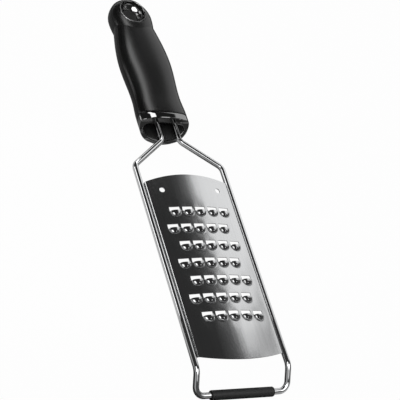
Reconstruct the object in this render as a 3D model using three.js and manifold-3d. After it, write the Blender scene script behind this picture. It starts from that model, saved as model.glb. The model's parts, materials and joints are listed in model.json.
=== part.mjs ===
// An extra coarse hand grater: a toothed steel blade on a bent wire frame, with a rubber foot and a moulded handle.
// Millimetres, +Z up. +X runs from the handle to the foot, and the grater lies on the plane z = 0.
import * as THREE from "three";
import { mergeVertices } from "three/addons/utils/BufferGeometryUtils.js";
import Module from "manifold-3d";

const wasm = await Module();
wasm.setup();

// Blade
const bladeLength = 130; // along the straight long edges
const bladeWidth = 63.6; // over the two flanges
const sheet = 0.6;
const crownRise = 3.0; // height of the middle of the face above its long edges
const endBow = 4.6; // how far each end curves out beyond the corners
const flangeDrop = 6.5;
const edgeBend = 1.8; // outer radius of the bend into a flange
const holeDiameter = 3.8;
const holeInset = 7.2; // from the corners at the handle end
const holeSpread = 43;

// Teeth
const toothRows = 7;
const teethPerRow = 5;
const firstRow = 20.7; // straight edge of the first slots, from the corners at the handle end
const rowPitch = 13.15;
const toothPitch = 9.56;
const rowStagger = 4.76; // sideways step between one row and the next
const toothWidth = 8.8;
const slotLength = 4.2; // open part of a tooth, behind its cutting edge
const scoopLength = 4.0;
const scoopHeight = 2.3;

// Wire frame
const wireDiameter = 4;
const railDrop = 2.4; // wire centre below the long edges of the face
const tailSpacing = 14;
const tailDepth = 46; // tail held in the handle, behind the collar's brow
const splayStart = 36; // bend at the handle, behind the corners of the blade
const splayEnd = 14.8; // bend into the rails, behind the corners of the blade
const splayBend = 6;
const legOverhang = 8; // rail that runs on past the front corners of the blade
const legReach = 13;
const legDrop = 10.2;
const legBend = 9;
const footBend = 6;

// Foot sleeve
const sleeveLength = 46.5;
const sleeveDiameter = 6.5;
const sleeveChamfer = 0.8;

// Handle
const handleSetback = 41.0; // from the corners of the blade back to the lower lip
const handleLength = 119.7; // from the lower lip back to the rear end
const handleRise = 3.0; // top of the handle above the long edges of the face
const headWidth = 32.6;
const headCentre = 16.7; // widest place of the head, from the rear end
const neckWidth = 31.0;
const neckPlace = 25.4; // from the rear end
const neckDip = 0.7;
const bellyWidth = 40.2;
const bellyPlace = 58.7; // from the rear end
const waistWidth = 36.8;
const waistSetback = 32; // from the lower lip
const waistDip = 0.6;
const shoulderWidth = 38.8;
const shoulderSetback = 16.6; // from the lower lip
const shoulderDip = 0.3;
const widestShare = 0.65; // height of the widest line, as a share of the handle's height
const topSquareness = 2.6; // exponents of the rounded section above and below that line
const undersideSquareness = 2.1;
const headSquareness = 2.6; // exponent of the head's rounding in side view
const gripSkin = 1.4;
const seamSetback = 5.4; // grip's front edge behind the collar's front edge

// Front collar
const collarLength = 22; // behind its brow
const lipWidth = 2.7; // from the outside of the collar to its recess
const mouthRake = 10.6; // lower lip reaches this far past the brow
const browDrop = 4.5; // where the front edge starts to run forward, below the handle's top
const browRadius = 57; // hollow of the brow's front, in plan
const browHang = 0.85; // foot of the brow below the middle of the wires
const recessFloor = 4; // material behind the recess

// Hanging eyelet
const eyeletPlace = 13.4; // from the rear end
const eyeletMouth = 19.0;
const eyeletThroat = 12.4;
const eyeletWall = 1.0;
const eyeletSink = 0.8; // rims below the top and above the underside of the head
const eyeletClear = 3; // grip material between the eyelet and the core

const clearance = 0.3; // gap left between pieces that touch

// Facets
const ringPoints = 36;
const wireSides = 12;
const arcSteps = 5;
const crownSteps = 14;
const bendSteps = 3;
const bowSteps = 12;
const scoopAround = 12;
const scoopLevels = 6;
const roundSides = 32;
const margin = 2; // how far cutting solids run past what they cut
const mergeDistance = 1e-4;

// Heights and places worked out from the sizes above
const wireRadius = wireDiameter / 2;
const sleeveRadius = sleeveDiameter / 2;
const barHeight = sleeveRadius;
const railHeight = barHeight + legDrop;
const faceEdge = railHeight + railDrop; // the long edges of the blade's face
const railSide = bladeWidth / 2 + clearance + wireRadius;
const handleTop = faceEdge + handleRise;
const lipPlace = -handleSetback;
const rearPlace = lipPlace - handleLength;
const browPlace = lipPlace - mouthRake;
const barPlace = bladeLength + legOverhang + legReach;
const frontPlace = barPlace + sleeveRadius;
const coreInset = gripSkin + clearance;

function solid(geometry) {
  const bare = new THREE.BufferGeometry();
  bare.setAttribute("position", geometry.getAttribute("position"));
  bare.setIndex(geometry.getIndex());
  const merged = mergeVertices(bare, mergeDistance);
  const mesh = new wasm.Mesh({
    numProp: 3,
    vertProperties: merged.getAttribute("position").array,
    triVerts: new Uint32Array(merged.getIndex().array),
  });
  return new wasm.Manifold(mesh);
}

function geometryOf(body) {
  const mesh = body.getMesh();
  const geometry = new THREE.BufferGeometry();
  geometry.setAttribute("position", new THREE.BufferAttribute(mesh.vertProperties, 3));
  geometry.setIndex(new THREE.BufferAttribute(mesh.triVerts, 1));
  return geometry;
}

// Shape coordinates (x, y) become (Y, Z), and the shape is drawn out along X from start to end.
function alongX(shape, start, end) {
  const geometry = new THREE.ExtrudeGeometry(shape, { depth: end - start, bevelEnabled: false });
  const turn = new THREE.Matrix4().makeBasis(
    new THREE.Vector3(0, 1, 0),
    new THREE.Vector3(0, 0, 1),
    new THREE.Vector3(1, 0, 0),
  );
  return geometry.applyMatrix4(turn).translate(start, 0, 0);
}

// A shape drawn in plan becomes an upright prism from low to high.
function upright(shape, low, high, curveSegments) {
  const settings = { depth: high - low, bevelEnabled: false, curveSegments };
  return new THREE.ExtrudeGeometry(shape, settings).translate(0, 0, low);
}

function rodAlongX(radius, start, end, y, z) {
  const rod = new THREE.CylinderGeometry(radius, radius, end - start, roundSides);
  return rod.rotateZ(-Math.PI / 2).translate((start + end) / 2, y, z);
}

// Skin over rings of equally many points that follow each other along +X, closed by a fan at each end.
function loft(rings, rearTip) {
  const count = rings[0].length;
  const points = rings.flat();
  const rearCentre = rearTip ?? middleOf(rings[0]);
  const frontCentre = middleOf(rings[rings.length - 1]);
  points.push(rearCentre, frontCentre);
  const rear = points.length - 2;
  const front = points.length - 1;
  const last = (rings.length - 1) * count;
  const faces = [];
  for (let j = 0; j < count; j++) {
    const next = (j + 1) % count;
    faces.push(rear, next, j);
    faces.push(front, last + j, last + next);
    for (let i = 0; i < rings.length - 1; i++) {
      const near = i * count;
      const far = near + count;
      faces.push(near + j, near + next, far + j);
      faces.push(near + next, far + next, far + j);
    }
  }
  const geometry = new THREE.BufferGeometry().setFromPoints(points);
  geometry.setIndex(faces);
  return geometry;
}

function middleOf(ring) {
  const sum = new THREE.Vector3();
  for (const point of ring) {
    sum.add(point);
  }
  return sum.divideScalar(ring.length);
}

function steps(from, to, count) {
  return Array.from({ length: count + 1 }, (_, k) => from + ((to - from) * k) / count);
}

// Blade: cross-section of the crowned face with its two flanges
function bladeProfile() {
  const firstAngle = 2 * Math.atan((2 * crownRise) / bladeWidth);
  const chord = bladeWidth / 2 - edgeBend * (1 - Math.sin(firstAngle));
  const angle = 2 * Math.atan(crownRise / chord);
  const radius = chord / Math.sin(angle);
  const centre = faceEdge + crownRise - radius;
  const bendSide = chord - edgeBend * Math.sin(angle);
  const bendHeight = faceEdge - edgeBend * Math.cos(angle);
  const outline = (inset) => {
    const half = [];
    for (const turn of steps(0, angle, crownSteps / 2)) {
      half.push([(radius - inset) * Math.sin(turn), centre + (radius - inset) * Math.cos(turn)]);
    }
    for (const turn of steps(angle, Math.PI / 2, bendSteps).slice(1)) {
      const reach = edgeBend - inset;
      half.push([bendSide + reach * Math.sin(turn), bendHeight + reach * Math.cos(turn)]);
    }
    half.push([bendSide + edgeBend - inset, faceEdge - flangeDrop]);
    const mirrored = half.slice(1).map(([y, z]) => [-y, z]);
    return [...mirrored.reverse(), ...half];
  };
  const points = [...outline(0), ...outline(sheet).reverse()];
  const shape = new THREE.Shape(points.map(([y, z]) => new THREE.Vector2(y, z)));
  return { shape, radius, centre };
}

// Plan of the blade: straight long sides and two bowed ends
function bladePlan() {
  const half = bladeWidth / 2 + margin;
  const bowRadius = ((bladeWidth / 2) ** 2 + endBow ** 2) / (2 * endBow);
  const spread = Math.asin(half / bowRadius);
  const frontCentre = bladeLength + endBow - bowRadius;
  const rearCentre = bowRadius - endBow;
  const shape = new THREE.Shape();
  shape.absarc(frontCentre, 0, bowRadius, -spread, spread, false);
  shape.absarc(rearCentre, 0, bowRadius, Math.PI - spread, Math.PI + spread, false);
  shape.closePath();
  return shape;
}

// Slot of one tooth in plan, with its cutting edge over x = 0 and a rounded front end under the scoop
function slotPlan() {
  const half = toothWidth / 2 - sheet;
  const shape = new THREE.Shape();
  shape.moveTo(-slotLength, half);
  shape.lineTo(-slotLength, -half);
  shape.lineTo(0, -half);
  shape.absellipse(0, 0, scoopLength - sheet, half, -Math.PI / 2, Math.PI / 2, false, 0);
  shape.closePath();
  return shape;
}

function ellipsoid(length, side, height) {
  return new THREE.SphereGeometry(1, scoopAround, scoopLevels).rotateX(Math.PI / 2).scale(length, side, height);
}

// Raised scoop of one tooth: a quarter of a hollow ellipsoid, open at x = 0, standing on the sheet's lower face
function scoop() {
  const outer = solid(ellipsoid(scoopLength, toothWidth / 2, scoopHeight + sheet));
  const inner = solid(ellipsoid(scoopLength - sheet, toothWidth / 2 - sheet, scoopHeight));
  const room = scoopLength + scoopHeight + toothWidth;
  const quarter = solid(new THREE.BoxGeometry(room, 2 * room, room).translate(room / 2, 0, room / 2));
  return outer.subtract(inner).intersect(quarter);
}

function toothPlaces() {
  const places = [];
  for (let row = 0; row < toothRows; row++) {
    const shift = (row % 2 === 0 ? rowStagger : -rowStagger) / 2;
    for (let k = 0; k < teethPerRow; k++) {
      const x = firstRow + slotLength + row * rowPitch;
      const y = shift + (k - (teethPerRow - 1) / 2) * toothPitch;
      places.push([x, y]);
    }
  }
  return places;
}

function makeBlade() {
  const { shape, radius, centre } = bladeProfile();
  const rough = solid(alongX(shape, -endBow - margin, bladeLength + endBow + margin));
  const low = faceEdge - flangeDrop - margin;
  const high = faceEdge + crownRise + margin;
  let body = rough.intersect(solid(upright(bladePlan(), low, high, bowSteps)));
  for (const side of [-1, 1]) {
    const hole = new THREE.CylinderGeometry(holeDiameter / 2, holeDiameter / 2, high - low, roundSides / 2);
    hole.rotateX(Math.PI / 2).translate(holeInset, (side * holeSpread) / 2, (low + high) / 2);
    body = body.subtract(solid(hole));
  }
  const cutter = solid(upright(slotPlan(), -margin, margin, scoopAround / 2));
  const raised = scoop();
  for (const [x, y] of toothPlaces()) {
    const lean = Math.asin(y / radius);
    const place = new THREE.Matrix4().makeRotationX(-lean);
    place.setPosition(x, y, centre + Math.sqrt((radius - sheet) ** 2 - y ** 2));
    body = body.subtract(cutter.transform(place.elements)).add(raised.transform(place.elements));
  }
  return geometryOf(body);
}

// A path that keeps its own stations, so that bends get many and straight runs get few
class StationCurve extends THREE.Curve {
  constructor(stations) {
    super();
    this.stations = stations;
  }

  between(t) {
    const place = t * (this.stations.length - 1);
    const index = Math.min(Math.floor(place + 1e-6), this.stations.length - 2);
    return { share: place - index, near: this.stations[index], far: this.stations[index + 1] };
  }

  getPoint(t, target = new THREE.Vector3()) {
    const { share, near, far } = this.between(t);
    return target.lerpVectors(near.point, far.point, share);
  }

  getTangent(t, target = new THREE.Vector3()) {
    const { share, near, far } = this.between(t);
    return target.lerpVectors(near.direction, far.direction, share).normalize();
  }

  getPointAt(u, target) {
    return this.getPoint(u, target);
  }

  getTangentAt(u, target) {
    return this.getTangent(u, target);
  }
}

// Stations along straight runs joined by round bends; each corner is [point, bend radius].
function bentStations(corners) {
  const points = corners.map(([point]) => point);
  const direction = (k) => points[k + 1].clone().sub(points[k]).normalize();
  const stations = [{ point: points[0], direction: direction(0) }];
  for (let k = 1; k < points.length - 1; k++) {
    const into = direction(k - 1);
    const out = direction(k);
    const bend = into.angleTo(out);
    const radius = corners[k][1];
    const inward = out.clone().addScaledVector(into, -Math.cos(bend)).normalize();
    const start = points[k].clone().addScaledVector(into, -radius * Math.tan(bend / 2));
    for (const turn of steps(0, bend, arcSteps)) {
      const point = start.clone();
      point.addScaledVector(into, radius * Math.sin(turn));
      point.addScaledVector(inward, radius * (1 - Math.cos(turn)));
      const heading = into.clone().multiplyScalar(Math.cos(turn)).addScaledVector(inward, Math.sin(turn));
      stations.push({ point, direction: heading });
    }
  }
  const end = points.length - 1;
  stations.push({ point: points[end], direction: direction(end - 1) });
  return stations;
}

function makeWireFrame() {
  const half = (side) => [
    [new THREE.Vector3(browPlace - tailDepth, (side * tailSpacing) / 2, railHeight), 0],
    [new THREE.Vector3(-splayStart, (side * tailSpacing) / 2, railHeight), splayBend],
    [new THREE.Vector3(-splayEnd, side * railSide, railHeight), splayBend],
    [new THREE.Vector3(bladeLength + legOverhang, side * railSide, railHeight), legBend],
    [new THREE.Vector3(barPlace, side * railSide, barHeight), footBend],
  ];
  const stations = bentStations([...half(-1), ...half(1).reverse()]);
  const ring = new THREE.Shape(
    steps(0, 2 * Math.PI, wireSides)
      .slice(0, -1)
      .map((turn) => new THREE.Vector2(wireRadius * Math.cos(turn), wireRadius * Math.sin(turn))),
  );
  return new THREE.ExtrudeGeometry(ring, {
    steps: stations.length - 1,
    bevelEnabled: false,
    extrudePath: new StationCurve(stations),
  });
}

function makeFootSleeve() {
  const bore = wireRadius + clearance;
  const half = sleeveLength / 2;
  const profile = [
    [bore, -half],
    [sleeveRadius - sleeveChamfer, -half],
    [sleeveRadius, -half + sleeveChamfer],
    [sleeveRadius, half - sleeveChamfer],
    [sleeveRadius - sleeveChamfer, half],
    [bore, half],
    [bore, -half],
  ];
  const points = profile.map(([r, y]) => new THREE.Vector2(r, y));
  return new THREE.LatheGeometry(points, roundSides).translate(barPlace, 0, barHeight);
}

function easeBetween(from, to, share) {
  return from + (to - from) * share * share * (3 - 2 * share);
}

// Width and draw-in of the handle at a distance from its rear end: round head, creased neck, belly, waist, shoulder
function handleForm(place) {
  const waistPlace = handleLength - waistSetback;
  const shoulderPlace = handleLength - shoulderSetback;
  if (place < neckPlace) {
    const headFront = (neckPlace - headCentre) / Math.sqrt(1 - (neckWidth / headWidth) ** 2);
    const reach = place < headCentre ? headCentre : headFront;
    const share = Math.abs(place - headCentre) / reach;
    const dipShare = Math.max(0, (place - headCentre) / (neckPlace - headCentre));
    return {
      width: headWidth * Math.sqrt(Math.max(0, 1 - share ** 2)),
      dip: neckDip * dipShare ** 2,
      fullness: place < headCentre ? Math.max(0, 1 - share ** headSquareness) ** (1 / headSquareness) : 1,
    };
  }
  if (place < bellyPlace) {
    const swell = Math.sin(((place - neckPlace) / (bellyPlace - neckPlace)) * (Math.PI / 2));
    return { width: neckWidth + (bellyWidth - neckWidth) * swell, dip: neckDip * (1 - swell), fullness: 1 };
  }
  if (place < waistPlace) {
    const share = (place - bellyPlace) / (waistPlace - bellyPlace);
    return { width: easeBetween(bellyWidth, waistWidth, share), dip: easeBetween(0, waistDip, share), fullness: 1 };
  }
  const share = Math.min(1, (place - waistPlace) / (shoulderPlace - waistPlace));
  return {
    width: easeBetween(waistWidth, shoulderWidth, share),
    dip: easeBetween(waistDip, shoulderDip, share),
    fullness: 1,
  };
}

// One closed section of the handle, drawn in all round by inset
function handleRing(place, inset) {
  const { width, dip, fullness } = handleForm(place);
  const middle = handleTop * widestShare;
  const half = width / 2 - inset;
  const above = (handleTop - dip - middle) * fullness - inset;
  const below = (middle - dip) * fullness - inset;
  return steps(0, 2 * Math.PI, ringPoints)
    .slice(0, -1)
    .map((turn) => {
      const across = Math.cos(turn);
      const up = Math.sin(turn);
      const power = 2 / (up > 0 ? topSquareness : undersideSquareness);
      const y = half * Math.sign(across) * Math.abs(across) ** power;
      const z = middle + (up > 0 ? above : below) * Math.sign(up) * Math.abs(up) ** power;
      return new THREE.Vector3(rearPlace + place, y, z);
    });
}

function handleStations(from, to, count) {
  const named = [neckPlace, bellyPlace, handleLength - waistSetback, handleLength - shoulderSetback];
  const between = named.filter((place) => place > from && place < to);
  const ordered = [...steps(from, to, count), ...between].sort((a, b) => a - b);
  return ordered.filter((place, k) => k === 0 || place - ordered[k - 1] > sheet);
}

function handleLoft(from, to, count, inset) {
  return solid(loft(handleStations(from, to, count).map((place) => handleRing(place, inset))));
}

// Everything behind a front edge that is the same all the way across the handle, given in side view from the top
// down as pairs of a place along X and a drop below the handle's top
function behindEdge(edge) {
  const side = bellyWidth + headWidth;
  const shape = new THREE.Shape();
  shape.moveTo(rearPlace - margin, handleTop + margin);
  shape.lineTo(rearPlace - margin, -margin);
  shape.lineTo(edge[edge.length - 1][0], -margin);
  for (const [place, drop] of edge.toReversed()) {
    shape.lineTo(place, handleTop - drop);
  }
  shape.lineTo(edge[0][0], handleTop + margin);
  shape.closePath();
  const prism = new THREE.ExtrudeGeometry(shape, { depth: 2 * side, bevelEnabled: false });
  return solid(prism.rotateX(Math.PI / 2).translate(0, side, 0));
}

// Front edge of the collar, upright at the brow and raked to the lower lip, or the same edge moved back
function collarEdge(setback) {
  const brow = browPlace - setback;
  return [[brow, 0], [brow, browDrop], [lipPlace - setback, handleTop]];
}

const collarRear = browPlace - collarLength;
const coreRear = eyeletPlace + eyeletMouth / 2 + eyeletWall + clearance + eyeletClear;
const bodyRings = 10;
const headRings = 8;

function makeGrip() {
  const headTurns = steps(0, Math.PI / 2, headRings).slice(1, -1);
  const headPlaces = headTurns.map((turn) => headCentre * (1 - Math.cos(turn)));
  const bodyPlaces = handleStations(headCentre, handleLength + margin, 2 * bodyRings);
  const rings = [...headPlaces, ...bodyPlaces].map((place) => handleRing(place, 0));
  const tip = new THREE.Vector3(rearPlace, 0, handleTop * widestShare);
  const cavity = handleLoft(coreRear - clearance, handleLength + 2 * margin, bodyRings, gripSkin);
  return geometryOf(
    solid(loft(rings, tip))
      .intersect(behindEdge(collarEdge(seamSetback)))
      .subtract(cavity)
      .subtract(solid(eyeletCutter())),
  );
}

function wireHoles(start, end) {
  const radius = wireRadius + clearance;
  return [-1, 1].map((side) => solid(rodAlongX(radius, start, end, (side * tailSpacing) / 2, railHeight)));
}

function makeHandleCore() {
  let body = handleLoft(coreRear, collarRear - clearance - rearPlace, bodyRings, coreInset);
  for (const socket of wireHoles(browPlace - tailDepth - clearance, collarRear + margin)) {
    body = body.subtract(socket);
  }
  return geometryOf(body);
}

const browFoot = railHeight - browHang;

// Cuts the brow's front to a hollow arc, in plan
function browCutter() {
  const side = bellyWidth / 2;
  const spread = Math.asin(side / browRadius);
  const shape = new THREE.Shape();
  shape.absarc(browPlace + browRadius, 0, browRadius, Math.PI - spread, Math.PI + spread, false);
  shape.lineTo(lipPlace + margin, -side);
  shape.lineTo(lipPlace + margin, side);
  shape.closePath();
  return upright(shape, browFoot, handleTop + margin, bowSteps);
}

// A spigot inside the grip, and a ring in front of it that is flush with the grip
function makeFrontCollar() {
  const start = collarRear - rearPlace;
  const end = handleLength + 2 * margin;
  const recessStart = start + recessFloor;
  const under = new THREE.BoxGeometry(handleLength, 2 * bellyWidth, handleTop);
  under.translate(lipPlace, 0, browFoot - handleTop / 2);
  const recess = handleLoft(recessStart, end, bodyRings / 2, lipWidth);
  const spigot = handleLoft(start, end, bodyRings / 2, coreInset);
  const ring = handleLoft(start, end, bodyRings, 0).subtract(behindEdge(collarEdge(seamSetback - clearance)));
  let body = spigot
    .add(ring)
    .intersect(behindEdge(collarEdge(0)))
    .subtract(recess.intersect(solid(under)))
    .subtract(solid(browCutter()));
  for (const hole of wireHoles(collarRear - margin, lipPlace + margin)) {
    body = body.subtract(hole);
  }
  return geometryOf(body);
}

// Radius of the eyelet's bore at a share of its height: narrow at the throat, flared to both mouths
function eyeletBore(share) {
  const flare = Math.abs(2 * share - 1);
  return eyeletThroat / 2 + ((eyeletMouth - eyeletThroat) / 2) * (1 - Math.sqrt(1 - flare ** 2));
}

const eyeletLow = eyeletSink;
const eyeletHigh = handleTop - eyeletSink;
const eyeletLevels = 8;

function eyeletCurve(offset) {
  return steps(0, 1, eyeletLevels).map((share) => {
    const level = (1 - Math.cos(share * Math.PI)) / 2;
    return new THREE.Vector2(eyeletBore(level) + offset, eyeletLow + (eyeletHigh - eyeletLow) * level);
  });
}

function standAtEyelet(geometry) {
  return geometry.rotateX(Math.PI / 2).translate(rearPlace + eyeletPlace, 0, 0);
}

function makeHangEyelet() {
  const outer = eyeletCurve(eyeletWall);
  const inner = eyeletCurve(0).reverse();
  return standAtEyelet(new THREE.LatheGeometry([...outer, ...inner, outer[0]], roundSides));
}

// The hole in the head: the eyelet's outside and a clearance, open above and below its rims
function eyeletCutter() {
  const wall = eyeletCurve(eyeletWall + clearance);
  const mouth = wall[0].x;
  const low = -margin;
  const high = handleTop + margin;
  const profile = [
    new THREE.Vector2(0, low),
    new THREE.Vector2(mouth, low),
    ...wall,
    new THREE.Vector2(mouth, high),
    new THREE.Vector2(0, high),
  ];
  return standAtEyelet(new THREE.LatheGeometry(profile, roundSides));
}

function finish(color, roughness, metalness) {
  return new THREE.MeshStandardMaterial({ color, roughness, metalness });
}

const pieces = [
  ["blade", makeBlade(), finish(0xb9bbbd, 0.28, 1)],
  ["wire_frame", makeWireFrame(), finish(0xd5d6d8, 0.1, 1)],
  ["foot_sleeve", makeFootSleeve(), finish(0x1a1a1b, 0.7, 0)],
  ["handle_core", makeHandleCore(), finish(0x121213, 0.35, 0)],
  ["grip", makeGrip(), finish(0x202022, 0.6, 0)],
  ["front_collar", makeFrontCollar(), finish(0x0a0a0b, 0.12, 0)],
  ["hang_eyelet", makeHangEyelet(), finish(0x0a0a0b, 0.08, 0)],
];

const grater = new THREE.Group();
for (const [name, geometry, material] of pieces) {
  const mesh = new THREE.Mesh(geometry, material);
  mesh.name = name;
  mesh.position.x = -(rearPlace + frontPlace) / 2;
  grater.add(mesh);
}

export default grater;
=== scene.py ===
# %% [markdown]
# # An extra coarse hand grater
#
# The grater has a crowned steel blade with scoop teeth, a bent wire frame with a rubber foot, and a soft
# black handle with a glossy mouth and a lined hanging hole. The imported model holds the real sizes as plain
# solids. This lesson lays finer surfaces over them and gives each one its finish. Shapes are worked out in
# millimetres, as the parts would be drawn, and become metres when a mesh is made.

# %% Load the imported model
import json
import math

import bpy
import numpy as np
from mathutils import Matrix

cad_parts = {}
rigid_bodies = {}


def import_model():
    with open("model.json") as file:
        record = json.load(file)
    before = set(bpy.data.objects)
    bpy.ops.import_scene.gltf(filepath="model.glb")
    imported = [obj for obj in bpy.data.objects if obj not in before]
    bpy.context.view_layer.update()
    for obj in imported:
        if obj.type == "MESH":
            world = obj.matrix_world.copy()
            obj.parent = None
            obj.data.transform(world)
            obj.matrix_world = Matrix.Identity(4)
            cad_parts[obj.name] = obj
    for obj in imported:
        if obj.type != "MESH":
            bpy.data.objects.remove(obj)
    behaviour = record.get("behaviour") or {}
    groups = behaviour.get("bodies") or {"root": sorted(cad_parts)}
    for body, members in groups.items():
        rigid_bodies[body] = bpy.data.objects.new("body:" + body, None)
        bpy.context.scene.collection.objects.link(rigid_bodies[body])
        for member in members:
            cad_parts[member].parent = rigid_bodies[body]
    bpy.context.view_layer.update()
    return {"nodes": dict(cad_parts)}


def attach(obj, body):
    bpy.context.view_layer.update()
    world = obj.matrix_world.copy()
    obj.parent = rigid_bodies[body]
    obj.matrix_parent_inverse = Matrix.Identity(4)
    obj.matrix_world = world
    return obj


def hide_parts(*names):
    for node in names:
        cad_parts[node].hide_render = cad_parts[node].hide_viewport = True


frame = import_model()
MM = 0.001
print("packed nodes:", sorted(frame["nodes"]))

# %% [markdown]
# ## From a grid of points to a mesh
#
# Every new piece is a grid: one parameter runs along the rows and the other along the columns. Neighbours
# make the faces, and a grid that closes on itself wraps round. Curves and modifiers could build tubes and
# lathes too, but a grid keeps the formula in sight, and its points land exactly where the formula says.

# %% Grid helpers
def grid_faces(rows, columns, wrap_rows=False, wrap_columns=False):
    """Faces of a grid whose points are listed row by row, facing along column times row direction."""
    i, j = np.meshgrid(
        np.arange(rows if wrap_rows else rows - 1),
        np.arange(columns if wrap_columns else columns - 1),
        indexing="ij",
    )
    below = (i + 1) % rows
    beside = (j + 1) % columns
    corners = [i * columns + j, i * columns + beside, below * columns + beside, below * columns + j]
    return np.stack(corners, axis=-1).reshape(-1, 4)


def fan_faces(ring, centre):
    """Triangles from each edge of a closed ring of point numbers to one centre point."""
    return np.stack([ring, np.roll(ring, -1), np.full_like(ring, centre)], axis=-1)


def turned_outward(points, faces):
    """The faces of a closed shell, all reversed if the volume that they enclose comes out negative."""
    volume = 0.0
    for group in faces:
        for k in range(1, group.shape[1] - 1):
            a, b, c = points[group[:, 0]], points[group[:, k]], points[group[:, k + 1]]
            volume += np.einsum("ij,ij->", a, np.cross(b, c)) / 6
    return [group[:, ::-1] for group in faces] if volume < 0 else faces


def closed_faces(points, rows):
    """Faces of a closed shell whose grid wraps both ways."""
    return turned_outward(points, [grid_faces(rows, len(points) // rows, True, True)])


def capped_shell(rings, ends):
    """Points and faces of a closed shell: rings joined in turn, with a fan over each end."""
    rows, sides = rings.shape[:2]
    points = np.concatenate([rings.reshape(-1, 3), ends])
    total = rows * sides
    ring = np.arange(sides)
    faces = [
        grid_faces(rows, sides, wrap_columns=True),
        fan_faces(ring[::-1], total),
        fan_faces(ring + total - sides, total + 1),
    ]
    return points, turned_outward(points, faces)


print("faces of a 3 by 4 grid:", len(grid_faces(3, 4)))

# %% [markdown]
# ## From a mesh to a piece
#
# A mesh shows once an object links it to the scene. The object stays at the origin, unturned, so that its
# own coordinates are the grater's. Each piece has a crease angle: edges sharper than that stay sharp, as
# pressed and moulded edges do. A finish can read a value that is marked on the points; a painted picture
# could tell it the same, but only after the surface has been unwrapped.

# %% Piece helpers
def put_object(name, data):
    """An object for a mesh, a lamp or a camera, linked to the scene."""
    made = bpy.data.objects.new(name, data)
    bpy.context.scene.collection.objects.link(made)
    return made


def put_mesh(name, points, faces, crease):
    """An object from points in millimetres, smooth where faces meet at less than the crease angle."""
    mesh = bpy.data.meshes.new(name)
    mesh.from_pydata((points * MM).tolist(), [], [face for group in faces for face in group.tolist()])
    mesh.update()
    mesh.shade_smooth()
    mesh.set_sharp_from_angle(angle=math.radians(crease))
    print(name, len(mesh.vertices), "points,", len(mesh.polygons), "faces")
    return put_object(name, mesh)


def mark_points(piece, name, values):
    """Gives each point a value that a finish can read by its name."""
    piece.data.attributes.new(name, "FLOAT", "POINT").data.foreach_set("value", values)


def dress(piece, node, finish):
    """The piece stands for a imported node, moves with the grater's one body, and takes a finish."""
    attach(piece, "root")
    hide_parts(node)
    piece.data.materials.append(finish)


def full_turn(sides):
    """Angles that part a full turn evenly, from 0 on."""
    return np.linspace(0, 2 * math.pi, sides, endpoint=False)


def unit(vectors):
    """Each vector divided by its length."""
    return vectors / np.linalg.norm(vectors, axis=1, keepdims=True)


def ease(low, high, value):
    """0 below low, 1 above high, and a smooth step between them."""
    share = np.clip((value - low) / (high - low), 0, 1)
    return share * share * (3 - 2 * share)


print("smooth step, a quarter of the way:", ease(0, 1, 0.25))

# %% [markdown]
# ## Main places
#
# Lengths along the grater start at the blade's two corners on the handle side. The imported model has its
# origin at the middle of the footprint, so one shift brings the two together. Places could be read from the
# packed boxes too, but named sizes show how the pieces depend on each other.

# %% Main places along the grater
blade_length = 130.0
wire_radius = 2.0
sleeve_radius = 3.25
leg_overhang, leg_reach, leg_drop = 8.0, 13.0, 10.2
handle_setback, handle_length = 41.0, 119.7
face_over_rail, handle_over_face = 2.4, 3.0
gap = 0.3

bar_place = blade_length + leg_overhang + leg_reach
rear_place = -handle_setback - handle_length
shift = -(rear_place + bar_place + sleeve_radius) / 2
rail_height = sleeve_radius + leg_drop
face_edge = rail_height + face_over_rail
handle_top = face_edge + handle_over_face


def in_place(x, y, z):
    """Points of three arrays, measured from the blade's corners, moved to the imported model's origin."""
    return np.stack(np.broadcast_arrays(x + shift, y, z), axis=-1).reshape(-1, 3).astype(float)


print("origin shift along the grater:", round(shift, 3), "mm; long edges of the face at", face_edge, "mm")

# %% [markdown]
# ## Maths on sockets
#
# A finish is a small network of nodes. Written as nodes and links it is hard to read, so one class wraps a
# socket and lets Python's own operators add the Math nodes. Every other node comes from a single method,
# which takes the node's type, its settings and what goes into its sockets.

# %% Sockets that do sums
class Feed:
    """An output socket. Sums with numbers and other feeds add Math nodes to the same finish."""

    def __init__(self, finish, socket):
        self.finish = finish
        self.socket = socket

    def maths(self, operation, first, second):
        """One Math node with two values, each a feed or a number."""
        return self.finish.node("ShaderNodeMath", {"operation": operation}, {0: first, 1: second})

    def __add__(self, other):
        return self.maths("ADD", self, other)

    def __sub__(self, other):
        return self.maths("SUBTRACT", self, other)

    def __rsub__(self, other):
        return self.maths("SUBTRACT", other, self)

    def __mul__(self, other):
        return self.maths("MULTIPLY", self, other)

    __radd__ = __add__
    __rmul__ = __mul__


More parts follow.
